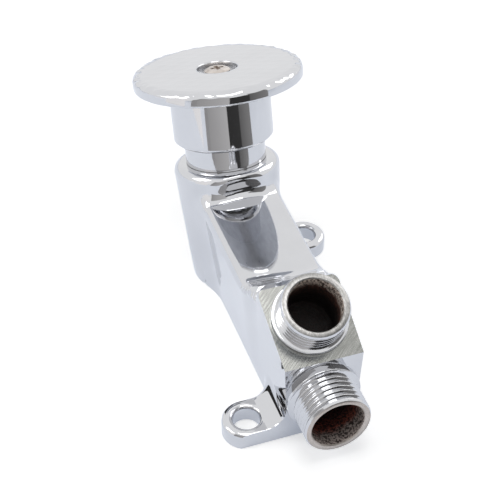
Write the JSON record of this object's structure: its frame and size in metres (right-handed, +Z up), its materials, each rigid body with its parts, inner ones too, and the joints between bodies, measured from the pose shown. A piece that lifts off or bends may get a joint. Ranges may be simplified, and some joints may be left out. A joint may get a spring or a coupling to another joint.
{
  "type": "foot pedal tap valve",
  "caption": "Floor-mounted chrome foot valve: a round plate on a leaning spring plunger opens a tap between a level inlet and a slanted outlet thread.",
  "frame": {"origin": "on the floor face, on the centreline of the casting, midway along Y between the two fixing holes", "axes": "+Z up from the floor; -Y points out of the level inlet; the plunger leans towards +Y, where the foot comes from"},
  "size_m": [0.0624, 0.1386, 0.0768],
  "materials": {
    "chrome": "polished chrome plate on cast brass",
    "brass": "turned brass",
    "rubber": "black rubber",
    "nylon": "plain white plastic",
    "steel": "plain stainless steel"
  },
  "bodies": {
    "valve": {"body": "chrome", "bonnet": "chrome", "bonnet_gasket": "nylon", "gland_washer": "brass", "stem_orings": "rubber", "seal_spacer": "nylon", "guide_bush": "nylon", "valve_cage": "brass", "seat_ring": "brass", "seat_oring": "rubber", "spring_washer": "steel", "return_spring": "steel"},
    "plunger": {"foot_plate": "chrome", "push_sleeve": "chrome", "slide_ring": "nylon", "spring_cap": "steel", "stem": "brass", "plate_screw": "brass", "lock_washer": "steel", "valve_washer": "rubber", "washer_holder": "brass", "disc_screw": "steel"}
  },
  "joints": [
    {"name": "plate_press", "type": "slide", "parent": "valve", "child": "plunger", "axis": [0, -0.2756, -0.9613], "range_m": [0, 0.006], "stiffness_N_per_m": 3000, "springref_m": -0.005, "deforming": ["return_spring"]}
  ]
}
